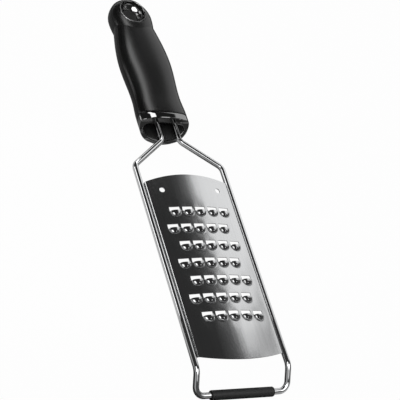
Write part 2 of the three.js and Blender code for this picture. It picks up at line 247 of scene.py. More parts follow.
class Finish:
    """A node tree of a material or of the world, with one method that makes any node."""

    def __init__(self, owner):
        owner.use_nodes = True
        self.owner = owner
        self.tree = owner.node_tree
        self.tree.nodes.clear()

    def node(self, kind, settings=None, sockets=None, output=0):
        """Makes any node from settings by name and a feed or a value for each socket; gives one output."""
        made = self.tree.nodes.new(kind)
        for key, value in (settings or {}).items():
            if key == "stops":
                self.set_stops(made.color_ramp.elements, value)
            else:
                setattr(made, key, value)
        for key, value in (sockets or {}).items():
            if isinstance(value, Feed):
                self.tree.links.new(value.socket, made.inputs[key])
            else:
                made.inputs[key].default_value = value
        return Feed(self, made.outputs[output]) if made.outputs else made

    def set_stops(self, elements, stops):
        """Sets the places and colours along a colour ramp."""
        while len(elements) < len(stops):
            elements.new(0.5)
        for element, (position, color) in zip(elements, stops):
            element.position = position
            element.color = color

    def axis(self, number, space="Object"):
        """X, Y or Z of the place in metres, or of a world's direction."""
        spot = self.node("ShaderNodeTexCoord", output=space)
        return self.node("ShaderNodeSeparateXYZ", {}, {"Vector": spot}, output=number)

    def mark(self, name):
        """The value that the mesh's points are marked with, or 0."""
        return self.node("ShaderNodeAttribute", {"attribute_name": name}, output="Fac")

    def noise(self, scale, detail=2.0, roughness=0.5):
        """Noise from 0 to 1, with so many blotches to the metre along each axis, or along all alike."""
        spot = self.node("ShaderNodeTexCoord", output="Object")
        scale = np.broadcast_to(scale, 3).tolist()
        spot = self.node("ShaderNodeMapping", {}, {"Vector": spot, "Scale": scale})
        sockets = {"Vector": spot, "Scale": 1.0, "Detail": detail, "Roughness": roughness}
        return self.node("ShaderNodeTexNoise", {}, sockets)

    def shade(self, share, dark, light):
        """A colour between two, by a share from 0 to 1."""
        return self.node("ShaderNodeMix", {"data_type": "RGBA"}, {0: share, 6: dark, 7: light}, output=2)

    def fall(self, value, high_until, low_from):
        """1 up to one value, 0 from another on, and a smooth step down between them."""
        settings = {"interpolation_type": "SMOOTHSTEP"}
        sockets = {0: value, 1: high_until, 2: low_from, 3: 1.0, 4: 0.0}
        return self.node("ShaderNodeMapRange", settings, sockets)

    def bump(self, height, distance, strength):
        """A normal tilted by a height; 1 stands for a distance in metres."""
        sockets = {"Height": height, "Distance": distance, "Strength": strength}
        return self.node("ShaderNodeBump", {}, sockets)

    def surface(self, sockets):
        """Ends the tree with one Principled shader."""
        return self.output(self.node("ShaderNodeBsdfPrincipled", {}, sockets))

    def output(self, shader, kind="ShaderNodeOutputMaterial"):
        """Ends the tree with a shader, and returns its owner."""
        self.node(kind, {}, {"Surface": shader})
        return self.owner


def new_finish(name):
    """The empty node tree of a new material."""
    return Finish(bpy.data.materials.new(name))


def grey(level):
    """A colour with the same level of red, green and blue."""
    return (level, level, level, 1.0)


print("socket class ready")

# %% [markdown]
# ## Brushed steel for the blade
#
# The face of the blade is brushed along its length, so the light smears across the scratches. A picture of
# brushed steel would have to be laid out and would repeat itself. Noise that is stretched along X makes the
# scratches instead, and a broader one the slow waves that rolling leaves in a sheet; both raise a very
# shallow bump. The press has burnished the scoops: the mesh marks them as drawn, and there the steel is
# smoother.

# %% Finish of the blade
finish = new_finish("blade_steel")
scratches = finish.noise((90, 7000, 7000), detail=3.0, roughness=0.65)
streaks = finish.noise((12, 900, 900))
drift = finish.noise((20, 30, 30))
waves = finish.noise((9, 150, 150))
dark, light = (0.52, 0.525, 0.53, 1), (0.68, 0.685, 0.69, 1)
color = finish.shade(0.55 * streaks + 0.45 * drift, dark, light)
burnished = 0.65 * finish.mark("drawn")
rough = (0.1 + 0.05 * scratches + 0.03 * streaks) * (1 - burnished)
normal = finish.bump(scratches + 4 * waves, distance=0.00002, strength=0.6)
blade_steel = finish.surface({"Base Color": color, "Metallic": 1.0, "Roughness": rough, "Normal": normal})
print("blade steel:", len(finish.tree.nodes), "nodes")

# %% [markdown]
# ## Polished steel for the rod
#
# The rod is polished stainless steel. Its tails carry painted shade where they lie in the mouth's hollow. The
# tails could have a material of their own, but that would end in a hard line; a smooth step along X fades
# one into the other. Slow noise keeps the mirror from being perfect.

# %% Finish of the rod
finish = new_finish("rod_steel")
marks, drift = finish.noise(30), finish.noise(40)
rod_tone = finish.shade(drift, (0.66, 0.665, 0.67, 1), (0.78, 0.785, 0.79, 1))
# Painted shade: the tails inside the mouth's hollow darken to a dark grey up to these places along X
shaded_until, unshaded_from = -0.037, -0.032
tail_shade = finish.fall(finish.axis(0), shaded_until, unshaded_from)
color = finish.shade(0.9 * tail_shade, rod_tone, grey(0.06))
rod_steel = finish.surface({"Base Color": color, "Metallic": 1.0, "Roughness": 0.045 + 0.02 * marks})
print("rod steel:", len(finish.tree.nodes), "nodes")

# %% [markdown]
# ## Rubber and black plastics
#
# The foot is dull rubber, and the grip is a soft-touch moulding: nearly black, matt, with a grain that is
# only felt up close. The mouth and the eyelet are hard black plastic, a little wavy as mouldings are. A
# clear coat could give them their gloss; a high index of refraction does so with one number, and where the
# mesh marks the mouth's inside as dull, roughness takes it away.

# %% Finishes of the rubber and the plastics
finish = new_finish("foot_rubber")
grain = finish.noise(2600, detail=3.0, roughness=0.6)
dust = finish.noise((140, 60, 140), detail=3.0)
color = finish.shade(dust, grey(0.006), grey(0.014))
normal = finish.bump(grain, distance=0.00006, strength=0.3)
foot_rubber = finish.surface({"Base Color": color, "Roughness": 0.5 + 0.18 * grain, "Normal": normal})

finish = new_finish("grip_soft")
grain = finish.noise(3200, detail=3.0, roughness=0.6)
wear = finish.noise((35, 60, 60), detail=3.0)
color = finish.shade(wear, grey(0.0035), grey(0.005))
rough = 0.21 + 0.03 * wear + 0.03 * grain
normal = finish.bump(grain, distance=0.00004, strength=0.2)
grip_soft = finish.surface({"Base Color": color, "Roughness": rough, "IOR": 1.48, "Normal": normal})

finish = new_finish("gloss_black")
wave = finish.noise(160, detail=1.0)
dull = finish.mark("dull")
color = finish.shade(dull, grey(0.0035), grey(0.035))
rough = 0.03 + 0.02 * wave + 0.35 * dull
normal = finish.bump(wave, distance=0.0004, strength=0.12)
gloss_black = finish.surface({"Base Color": color, "Roughness": rough, "IOR": 2.8, "Normal": normal})

finish = new_finish("core_plastic")
grain = finish.noise(900)
color = finish.shade(grain, grey(0.006), grey(0.010))
core_plastic = finish.surface({"Base Color": color, "Roughness": 0.35 + 0.1 * grain})
print("finishes:", [m.name for m in bpy.data.materials if m.node_tree])

# %% [markdown]
# ## The blade's cross-section
#
# The blade is one pressed sheet. Across its width the face is a shallow arc, and each long edge is bent
# down into a flange. A flat sheet could be bent by a modifier, but the teeth would bend with it. So the
# columns of the blade's grid are the points of the finished cross-section: evenly spaced over the face, so
# that tooth tiles fit the grid, and closer together round the bends.

# %% Cross-section of the blade
blade_width, crown_rise, flange_drop, edge_bend, sheet = 63.6, 3.0, 6.5, 1.8, 0.6
tooth_pitch, row_pitch, tooth_cells = 9.56, 13.15, 8
half_cells, bend_points, flange_points = 25, 7, 4
cell = tooth_pitch / tooth_cells

first_angle = 2 * math.atan(2 * crown_rise / blade_width)
chord = blade_width / 2 - edge_bend * (1 - math.sin(first_angle))
edge_angle = 2 * math.atan(crown_rise / chord)
crown_radius = chord / math.sin(edge_angle)
crown_centre = face_edge + crown_rise - crown_radius


def on_face(y):
    """Height of the face and its normal's two parts at a distance y from the middle: a circular arc."""
    up = np.sqrt(crown_radius**2 - y**2)
    return crown_centre + up, y / crown_radius, up / crown_radius


# From the middle outwards: arc of the face, bend and flange; the other half mirrors them
lattice = np.arange(half_cells + 1) * cell
turn = np.linspace(edge_angle, math.pi / 2, bend_points)
bend_y = chord - edge_bend * math.sin(edge_angle)
bend_z = face_edge - edge_bend * math.cos(edge_angle)
share = np.linspace(0, 1, flange_points + 1)[1:]
drop = share * (flange_drop - edge_bend * math.cos(edge_angle))
flange_y = np.full(flange_points, bend_y + edge_bend)
y = np.concatenate([lattice, bend_y + edge_bend * np.sin(turn), flange_y])
z = np.concatenate([on_face(lattice)[0], bend_z + edge_bend * np.cos(turn), bend_z - drop])
column_y, column_z = np.concatenate([-y[:0:-1], y]), np.concatenate([z[:0:-1], z])
middle_column = len(column_y) // 2
print("columns across the blade:", len(column_y))

# %% [markdown]
# ## Tooth tiles
#
# Each tooth is a slot whose front edge has been pushed up into a scoop, its sharp mouth towards the handle.
# Slots that a Boolean cuts into a sheet leave uneven faces, which spoil reflections, so one tooth fills one
# tile of the blade. The tile is a ring-shaped grid: its inner loop follows the slot and the mouth of the
# scoop, and its outer loop is the tile's rectangle, so that tiles join up. The height over the sheet is a
# quarter of an ellipsoid, with a soft maximum at its foot that stands for the press radius.

# %% One tooth as a ring-shaped grid
slot_start, slot_length = 2.7, 3.5
slot_half, scoop_half, scoop_length, scoop_height = 3.75, 4.0, 4.4, 2.1
press_radius, lip_fade, foot_fade = 0.15, 0.6, (1.9, 1.15)
side_cells, scoop_rings = 11, 11
rear_ring_share, flat_ring_shares = 0.7, np.array([0.12, 0.3, 0.6, 1.0])
mouth = slot_start + slot_length
least = 1e-9


def rectangle_loop(length, half_width, length_cells, width_cells):
    """Points round a rectangle from x = 0 to length, evenly spaced along each side."""
    along = np.linspace(0, length, length_cells + 1)
    across = np.linspace(-half_width, half_width, width_cells + 1)
    far_side, near_side = np.full(length_cells, half_width), np.full(length_cells, -half_width)
    x = np.concatenate([np.zeros(width_cells), along[:-1], np.full(width_cells, length), along[:0:-1]])
    y = np.concatenate([across[:-1], far_side, across[:0:-1], near_side])
    return x, y


def slot_loop(x, y):
    """The slot's partner for each point of the tile's edge: on its rear edge, on a side, or on the mouth."""
    ahead = np.arctan2(y, np.maximum(x - mouth, least))
    behind = np.arctan2(y, np.maximum(slot_start - x, least))
    side = slot_half + (scoop_half - slot_half) * ease(slot_start, mouth, x)
    slot_x = np.clip(x, slot_start, mouth)
    slot_y = np.where(x > mouth, scoop_half * np.sin(ahead), np.sign(y) * side)
    return slot_x, np.where(x < slot_start, slot_half * np.sin(behind), slot_y)


def ray_leaves(start, step, halves):
    """How many steps lead from a start inside an ellipse to its edge: the larger root of a quadratic."""
    (x, y), (u, v) = [(pair[0] / halves[0], pair[1] / halves[1]) for pair in (start, step)]
    a, b, c = u**2 + v**2, x * u + y * v, x**2 + y**2 - 1
    return (-b + np.sqrt(np.maximum(b * b - a * c, 0))) / a


def scoop_rise(x, y):
    """Height over the sheet: an ellipsoid in front of the mouth, joined to the flat by a soft maximum."""
    reach = np.maximum(x - mouth, 0) / scoop_length
    spread = reach**2 + (y / scoop_half) ** 2
    dome = scoop_height * np.sign(1 - spread) * np.sqrt(np.abs(1 - spread))
    rise = (dome + np.sqrt(dome**2 + press_radius**2)) / 2
    behind = np.minimum(x - mouth, 0) / lip_fade
    return rise * np.exp(-(behind**2)) * ease(*foot_fade, spread)


# Rings crowd towards the foot of the scoop, where the line from the slot to the edge leaves the ellipse
outer_x, outer_y = rectangle_loop(row_pitch, tooth_pitch / 2, side_cells, tooth_cells)
inner_x, inner_y = slot_loop(outer_x, outer_y)
step_x, step_y = outer_x - inner_x, outer_y - inner_y
leaving = ray_leaves((0.0, inner_y), (step_x, step_y), (scoop_length, scoop_half))
foot = np.where(outer_x > mouth, leaving, rear_ring_share)
rising = foot * np.sin(np.linspace(0, math.pi / 2, scoop_rings))[:, None]
flat = foot + (1 - foot) * flat_ring_shares[:, None]
share = np.concatenate([rising, flat])
tile_x, tile_y = inner_x + share * step_x, inner_y + share * step_y
tile_rise = scoop_rise(tile_x, tile_y)
print("points in one tooth tile:", tile_x.size, "highest", round(float(tile_rise.max()), 2), "mm")

# %% [markdown]
# ## Rows of teeth
#
# Seven rows of five teeth stand on the face, every other row half a pitch to the side. An Array modifier
# could repeat the tile, but each tile has to follow the arc of the face. Pressing the teeth draws the sheet
# down round each one: a sum of soft dimples, which bends the reflections.

# %% Places of the teeth
first_row, stagger_cells = 20.7, 2
tooth_rows, teeth_per_row = 7, 5
dish_depth, dish_length, dish_width, dish_fade = 0.42, 5.0, 3.6, (30, 26)

tiles_start = first_row - slot_start
tiles_end = tiles_start + tooth_rows * row_pitch

# Start of each tile along the blade and its middle across it; every other row steps sideways
row, k = np.meshgrid(np.arange(tooth_rows), np.arange(teeth_per_row), indexing="ij")
sideways = np.where(row % 2 == 0, stagger_cells, -stagger_cells) * cell
tooth_x = (tiles_start + row * row_pitch).reshape(-1)
tooth_y = (sideways + (k - (teeth_per_row - 1) / 2) * tooth_pitch).reshape(-1)


def press_dish(x, y):
    """How far the press has drawn the sheet down: a sum of soft dimples, one round each tooth."""
    x, y = np.broadcast_arrays(x, y)
    along = (x[..., None] - tooth_x - mouth) / dish_length
    across = (y[..., None] - tooth_y) / dish_width
    dimples = np.exp(-(along**2 + across**2) / 2).sum(axis=-1)
    return dish_depth * dimples * ease(*dish_fade, np.abs(y))


def face_points(x, y, rise=0.0):
    """Points on the face of the blade, lifted along its normal."""
    z, normal_y, normal_z = on_face(y)
    return in_place(x, y + rise * normal_y, z + rise * normal_z - press_dish(x, y))


print("teeth:", len(tooth_x), "from", round(float(tooth_x.min()), 1), "mm on")

# %% [markdown]
# ## Patches of the face
#
# Plain cells fill the face between the tiles, round the two holes and down the flanges. The ends follow a
# shallow bow, and the flanges' lower corners are cut back. Separate meshes could be joined later, but then
# their edges might not meet; here all patches are cut from one lattice, and share their edge points.

# %% Patches of the upper face
end_bow, rear_corner_cut, front_corner_cut = 4.6, 2.5, 5.5
hole_place, hole_radius, hole_column, hole_side, hole_half_cells = 7.2, 1.9, 18, 1.2, 3
rear_lines, front_lines, hole_rings, hole_crowding = 6, 19, 6, 1.3

hole_cells = 2 * hole_half_cells
block_start = hole_place - hole_half_cells * hole_side


def bow(y):
    """How far an end reaches past the corners: a circular arc over the width."""
    radius = ((blade_width / 2) ** 2 + end_bow**2) / (2 * end_bow)
    return np.sqrt(radius**2 - np.minimum(np.abs(y), blade_width / 2) ** 2) - radius + end_bow


def plain_block(lines, keep=None):
    """Cells between lines of x, which may differ by column; keep drops the cells that patches fill."""
    points = in_place(lines, column_y, column_z - press_dish(lines, column_y))
    faces = grid_faces(len(lines), len(column_y))[:, ::-1]
    return points, faces if keep is None else faces[keep.reshape(-1)]


def end_blocks():
    """Plain blocks at the two ends: their lines change from a straight one to the end's own curve."""
    rear_share = np.linspace(0, 1, rear_lines)[:, None]
    front_share = np.linspace(0, 1, front_lines)[:, None]
    down = np.clip((face_edge - edge_bend - column_z) / (flange_drop - edge_bend), 0, 1)
    rear_end = rear_corner_cut * down - bow(column_y)
    front_end = blade_length + bow(column_y) - front_corner_cut * down
    rear = (1 - rear_share) * rear_end + rear_share * block_start
    front = (1 - front_share) * tiles_end + front_share * front_end
    return plain_block(rear), plain_block(front)


def kept_cells(rear_rows, line_count):
    """Which cells of the block stay plain: all but the tooth tiles and the squares round the two holes."""
    keep = np.ones((line_count - 1, len(column_y) - 1), bool)
    for side in (-1, 1):
        left = middle_column + side * hole_column - hole_half_cells
        keep[:hole_cells, left : left + hole_cells] = False
    width = teeth_per_row * tooth_cells
    for row in range(tooth_rows):
        left = middle_column + (stagger_cells if row % 2 == 0 else -stagger_cells) - width // 2
        top = rear_rows + row * side_cells
        keep[top : top + side_cells, left : left + width] = False
    return keep


def middle_block():
    """Plain cells from the holes to the last row of teeth."""
    rear = np.linspace(block_start, tiles_start, round((tiles_start - block_start) / hole_side) + 1)
    teeth = np.linspace(tiles_start, tiles_end, tooth_rows * side_cells + 1)
    lines = np.concatenate([rear, teeth[1:]])
    return plain_block(lines[:, None], kept_cells(len(rear) - 1, len(lines)))


def hole_patches():
    """A ring-shaped grid round each of the two holes, from the circle to a square of cells."""
    half_length, half_width = hole_half_cells * hole_side, hole_half_cells * cell
    outer_x, outer_y = rectangle_loop(2 * half_length, half_width, hole_cells, hole_cells)
    outer_x = outer_x - half_length
    away = np.hypot(outer_x, outer_y)
    share = np.linspace(0, 1, hole_rings)[:, None] ** hole_crowding
    x = (1 - share) * hole_radius * outer_x / away + share * outer_x
    y = (1 - share) * hole_radius * outer_y / away + share * outer_y
    faces = grid_faces(*x.shape, wrap_columns=True)
    return [(face_points(hole_place + x, side * hole_column * cell + y), faces) for side in (-1, 1)]


def tooth_patch():
    """The tooth tile, set down at each tooth's place."""
    shape = (len(tooth_x), 1, 1)
    points = face_points(tooth_x.reshape(shape) + tile_x, tooth_y.reshape(shape) + tile_y, tile_rise)
    faces = grid_faces(*tile_x.shape, wrap_columns=True)
    each = np.arange(len(tooth_x)).reshape(shape) * tile_x.size
    return points, (faces + each).reshape(-1, 4)


rear_block, front_block = end_blocks()
patches = [rear_block, middle_block(), front_block, *hole_patches(), tooth_patch()]
print("faces of the patches:", [len(faces) for _, faces in patches])

# %% [markdown]
# ## From a face to a sheet
#
# Steel sheet has a thickness that shows at the slots and ends. A Solidify modifier could add it; as plain
# arrays, both skins can be marked for the finish. The patches are welded first. Then a second skin goes
# below the first, and a rim along every open edge.

# %% Blade sheet
weld_step = 1e-4
drawn_low, drawn_high = 0.05, 0.4


def weld(points, faces):
    """Points at the same place become one, and points that no face uses go."""
    steps = np.round(points / weld_step).astype(np.int64)
    _, first, back = np.unique(steps, axis=0, return_index=True, return_inverse=True)
    faces = back.reshape(-1)[faces]
    used, faces = np.unique(faces, return_inverse=True)
    return points[first][used], faces.reshape(-1, 4)


def thicken(points, faces, thickness):
    """A second skin against the normals, and a rim from each open edge to its copy."""
    corners = points[faces]
    flat = np.cross(corners[:, 2] - corners[:, 0], corners[:, 3] - corners[:, 1])
    normals = np.zeros_like(points)
    for k in range(4):
        np.add.at(normals, faces[:, k], flat)
    normals = unit(normals)
    edges = np.concatenate([faces[:, [k, (k + 1) % 4]] for k in range(4)])
    _, first, count = np.unique(np.sort(edges, axis=1), axis=0, return_index=True, return_counts=True)
    start, end = edges[first[count == 1]].T
    total = len(points)
    rim = np.stack([end, start, start + total, end + total], axis=-1)
    return np.concatenate([points, points - thickness * normals]), [faces, faces[:, ::-1] + total, rim]


counts = np.cumsum([0] + [len(points) for points, _ in patches])
points = np.concatenate([points for points, _ in patches])
faces = np.concatenate([faces + start for (_, faces), start in zip(patches, counts)])
points, faces = thicken(*weld(points, faces), sheet)
blade_sheet = put_mesh("blade_sheet", points, faces, crease=38)
rise = points[:, 2] - on_face(np.clip(points[:, 1], -chord, chord))[0]
rise = rise + press_dish(points[:, 0] - shift, points[:, 1])
mark_points(blade_sheet, "drawn", ease(drawn_low, drawn_high, rise))
dress(blade_sheet, "blade", blade_steel)

# %% [markdown]
# ## The bent rod
#
# One round rod makes the whole frame: two tails in the handle, a splay, two rails beside the blade, two
# legs and the bar of the foot. A curve with a round bevel could make it, but how that twists in the bends
# is hard to foresee. Here a circle is carried along a path of straight runs and round bends. The path never
# runs straight up, so the sideways direction is simply the cross product of "up" and the path.

# %% Rod of the frame
brow_setback, tail_half, tail_depth = 10.6, 7.0, 46
splay_start, splay_end = -36.0, -14.8
# At both ends of the splay, at the top of the leg and at the bar
bend_radii = np.array([6.0, 6.0, 9.0, 6.0])
bend_steps, rod_sides = 17, 40

brow_place = -handle_setback - brow_setback
rail_side = blade_width / 2 + gap + wire_radius
tail_end = brow_place - tail_depth


def bent_path(corners, radii, steps):
    """Points and directions along straight runs and round bends: each bend leaves its run one tangent length
    before the corner, and turns evenly to the next run."""
    run = unit(np.diff(corners, axis=0))
    into, out = run[:-1], run[1:]
    angle = np.arccos(np.einsum("ij,ij->i", into, out))
    inward = unit(out - into * np.cos(angle)[:, None])
    start = corners[1:-1] - into * (radii * np.tan(angle / 2))[:, None]
    turn = np.linspace(0, 1, steps)[None, :, None] * angle[:, None, None]
    into, inward = into[:, None], inward[:, None]
    arc = np.sin(turn) * into + (1 - np.cos(turn)) * inward
    bends = start[:, None] + radii[:, None, None] * arc
    heading = np.cos(turn) * into + np.sin(turn) * inward
    points = np.concatenate([corners[:1], bends.reshape(-1, 3), corners[-1:]])
    headings = np.concatenate([run[:1], heading.reshape(-1, 3), run[-1:]])
    return points, headings


def tube(points, headings, radius, sides):
    """A circle carried along a path, with a fan over each end."""
    sideways = unit(np.cross([0.0, 0.0, 1.0], headings))
    upward = np.cross(headings, sideways)
    turn = full_turn(sides)[None, :, None]
    circle = np.cos(turn) * sideways[:, None] + np.sin(turn) * upward[:, None]
    return capped_shell(points[:, None] + radius * circle, points[[0, -1]])


half_path = np.array(
    [
        (tail_end, tail_half, rail_height),
        (splay_start, tail_half, rail_height),
        (splay_end, rail_side, rail_height),
        (blade_length + leg_overhang, rail_side, rail_height),
        (bar_place, rail_side, sleeve_radius),
    ]
)
corners = np.concatenate([half_path * (1, -1, 1), half_path[::-1]]) + (shift, 0, 0)
path = bent_path(corners, np.concatenate([bend_radii, bend_radii[::-1]]), bend_steps)
frame_rod = put_mesh("frame_rod", *tube(*path, wire_radius, rod_sides), crease=50)
dress(frame_rod, "wire_frame", rod_steel)

# %% [markdown]
# ## Rubber sleeve of the foot
#
# The foot is a short rubber tube on the bar, with rounded ends. It is a turned shape: a closed profile of
# radius and height is swept round an axis, which is a grid that wraps both ways. A Screw modifier turns a
# profile too, but leaves a seam to be merged, and the grid has none.

# %% Sleeve of the foot
sleeve_length, sleeve_edge, sleeve_sides = 46.5, 0.8, 64
edge_points, outer_points, outer_margin = 7, 12, 2


def swept_round(radius, height, sides):
    """A closed profile swept round an axis: two arrays across it and one along it, in rows round it."""
    turn = full_turn(sides)[:, None]
    return radius * np.cos(turn), radius * np.sin(turn), np.broadcast_to(height, (sides, len(height)))


# Profile from one end of the bore, over both rounded edges and the outside, to the other end
half, bore = sleeve_length / 2, wire_radius + gap
turn = np.linspace(0, math.pi / 2, edge_points)
corner_r = sleeve_radius - sleeve_edge + sleeve_edge * np.cos(turn)
corner_y = half - sleeve_edge + sleeve_edge * np.sin(turn)
middle = np.linspace(-half + outer_margin, half - outer_margin, outer_points)
outer = np.full(outer_points, sleeve_radius)
radius = np.concatenate([[bore], corner_r[::-1], outer, corner_r, [bore]])
height = np.concatenate([[-half], -corner_y[::-1], middle, corner_y, [half]])
across, up, along = swept_round(radius, height, sleeve_sides)
points = in_place(bar_place + across, along, sleeve_radius + up)
rubber_foot = put_mesh("rubber_foot", points, closed_faces(points, sleeve_sides), crease=40)
dress(rubber_foot, "foot_sleeve", foot_rubber)

# %% [markdown]
# ## Liner of the hanging hole
#
# The eyelet lines the hanging hole with hard plastic. It flares below its throat, and above it a funnel
# opens to a steep, rolled rim. It is turned like the sleeve. One smooth curve could be its profile, but the
# bright rings in the hole come from changes of slope, so the funnel is a list of heights and widths.

# %% Eyelet of the hanging hole
eyelet_setback, eyelet_sides, flare_points, roll_points = 13.4, 96, 21, 9
eyelet_mouth, eyelet_throat, eyelet_wall, eyelet_sink = 9.5, 6.2, 1.0, 0.8
throat_depth, rim_rise = 7.0, 0.2
# Above the throat: heights over it, and how much wider the bore is there
funnel_rise = np.array([0.3, 0.7, 1.2, 2.0, 2.8, 3.4, 3.9, 4.8, 5.6, 6.4, 7.0])
funnel_widening = np.array([0.0, 0.06, 0.3, 1.13, 1.97, 2.57, 2.86, 2.98, 3.07, 3.17, 3.3])
eyelet_place = rear_place + eyelet_setback

# Profile inside from the lower rim up: a quarter ellipse to the throat, a funnel, and a steep wall to the
# upper rim; then back down the outside
low, high = eyelet_sink, handle_top - eyelet_sink
throat = high - throat_depth
flare = np.linspace(0, math.pi / 2, flare_points)
flare_widening = (eyelet_mouth - eyelet_throat) * (1 - np.cos(math.pi / 2 - flare))
bore = eyelet_throat + np.concatenate([flare_widening, funnel_widening])
height = np.concatenate([low + (throat - low) * np.sin(flare), throat + funnel_rise])
roll = np.linspace(0, math.pi, roll_points)[1:-1]
half_wall = eyelet_wall / 2
rim_r = eyelet_mouth + half_wall - half_wall * np.cos(roll)
rim_z = rim_rise * np.sin(roll)
radius = np.concatenate([bore, rim_r, (bore + eyelet_wall)[::-1], rim_r[::-1]])
height = np.concatenate([height, high + rim_z, height[::-1], low - rim_z[::-1]])
across, side, up = swept_round(radius, height, eyelet_sides)
points = in_place(eyelet_place + across, side, up)
eyelet_liner = put_mesh("eyelet_liner", points, closed_faces(points, eyelet_sides), crease=60)
dress(eyelet_liner, "hang_eyelet", gloss_black)

# %% [markdown]
# ## The form of the handle
#
# The handle is a flattened round: each cross-section is two half superellipses, squarer above than below.
# It swells and narrows from neck to belly, waist and shoulder. A box under a Subdivision Surface could be
# pulled into that form, but grip and mouth piece have to be flush, so both are cut from one formula.

# %% Sections of the handle
neck_place, neck_width, neck_dip = 25.4, 31.0, 0.7
belly_place, belly_width = 58.7, 40.2
waist_place, waist_width, waist_dip = handle_length - 32, 36.8, 0.6
shoulder_place, shoulder_width, shoulder_dip = handle_length - 16.6, 38.8, 0.3
widest_share, top_power, under_power, angles = 0.65, 2.6, 2.1, 160
widest_height = widest_share * handle_top
around = full_turn(angles)


def handle_form(place):
    """Width and draw-in at a place: a quarter sine from the neck to the belly, then smooth steps."""
    swell = np.sin(np.clip((place - neck_place) / (belly_place - neck_place), 0, 1) * math.pi / 2)
    to_waist = ease(belly_place, waist_place, place)
    to_shoulder = ease(waist_place, shoulder_place, place)
    width = neck_width + (belly_width - neck_width) * swell
    width = width + (waist_width - belly_width) * to_waist + (shoulder_width - waist_width) * to_shoulder
    dip = neck_dip * (1 - swell) + waist_dip * to_waist + (shoulder_dip - waist_dip) * to_shoulder
    return width, dip


def handle_section(place, inset):
    """Y and Z at all angles round the sections at some places, drawn in by inset."""
    width, dip = handle_form(place)
    across, up = np.cos(around), np.sin(around)
    power = np.where(up > 0, 2 / top_power, 2 / under_power)
    reach = np.where(up > 0, handle_top - dip - widest_height, widest_height - dip) - inset
    y = (width / 2 - inset) * np.sign(across) * np.abs(across) ** power
    return y, widest_height + reach * np.sign(up) * np.abs(up) ** power


def section_rings(place, inset):
    """Rings of points round the handle, one for each row of places."""
    y, z = handle_section(place, inset)
    return in_place(rear_place + place, y, z).reshape(-1, angles, 3)


def between(start, end, share):
    """Rows of places from a start to an end, by their share of the way."""
    return start + (end - start) * share[:, None]


def handle_shell(rings):
    """A closed shell of rings, closed at the middle of the two outer ones."""
    return capped_shell(rings, rings[[0, -1]].mean(axis=1))


print("width at the belly and the waist:", [handle_form(place)[0] for place in (belly_place, waist_place)])

# %% [markdown]
# ## Front edges of the handle
#
# In side view the front of the handle is upright at the brow, and below that it runs forward to the lower
# lip. A Boolean could cut the sections along that line. Instead, each line along the handle ends where it
# meets the edge, which keeps the rows of the grid in order.

# %% Front edges in side view
brow_drop, seam_setback = 4.5, 5.4
meeting_start, meeting_rounds = handle_length - 8, 6
lip_place = -handle_setback
mouth_drops = np.array([0, brow_drop, handle_top])
mouth_places = np.array([brow_place, brow_place, lip_place])
grip_places = mouth_places - seam_setback


def edge_place(z, places):
    """Distance from the rear end of a front edge at a height; places go with the drops below the top."""
    return np.interp(handle_top - z, mouth_drops, places) - rear_place


def meeting_place(places):
    """Where the outside of the handle meets a front edge, at each angle; a few rounds settle it."""
    place = np.full(angles, meeting_start)
    for _ in range(meeting_rounds):
        place = edge_place(handle_section(place, 0.0)[1], places)
    return place


print("brow at", round(brow_place + shift, 2), "mm, lower lip at", round(lip_place + shift, 2), "mm")

# %% [markdown]
# ## Body of the grip
#
# The grip is a skin moulded over the core. Its body is a loft of the sections above, ending at the seam in
# front with a rolled lip, and turning back inside as far as the core. A Solidify modifier would give it a
# wall too, but not the rolled lip.

# %% Grip body
skin, body_start, cavity_end = 1.4, 25.0, 27.5
outside_rows, lip_rows, inside_rows = 90, 9, 24

# Rings from the neck to the seam, round the rolled lip, and back inside to the end of the core
seam = meeting_place(grip_places)
roll = skin / 2
turn = np.linspace(0, math.pi, lip_rows)[1:-1, None]
outside = section_rings(between(body_start, seam - roll, np.linspace(0, 1, outside_rows)), 0.0)
lip = section_rings(seam - roll + roll * np.sin(turn), roll - roll * np.cos(turn))
inside = section_rings(between(cavity_end, seam - roll, np.linspace(1, 0, inside_rows)), skin)
body_points, body_faces = handle_shell(np.concatenate([outside, lip, inside]))
print("grip body:", len(body_points), "points")

# %% [markdown]
# ## Head of the grip
#
# The head is a bead round the hanging hole: a profile swept round the eyelet's axis, with a radius that
# follows the head's outline in plan. It could be lofted with the body, but a hole through a loft has to be
# cut. Swept round the hole, it has one from the start, and it runs into the body at the neck, which leaves
# a crease.

# %% Grip head
head_width, head_centre, head_power, head_dip = 32.6, 16.7, 2.6, 0.15
head_rows, wall_rows = 26, 8
hole_wall = eyelet_mouth + eyelet_wall + gap


def head_outline(turn):
    """Distance from the eyelet's axis to the head's edge in plan, where a ray meets an ellipse behind the
    widest place, or a longer one in front of it."""
    offset = eyelet_setback - head_centre
    front = (neck_place - head_centre) / math.sqrt(1 - (neck_width / head_width) ** 2)
    ray = np.cos(turn), np.sin(turn)
    result = np.zeros_like(turn)
    for semi, ahead in ((head_centre, False), (front, True)):
        reach = ray_leaves((offset, 0.0), ray, (semi, head_width / 2))
        result = np.where((offset + reach * ray[0] > 0) == ahead, reach, result)
    return result


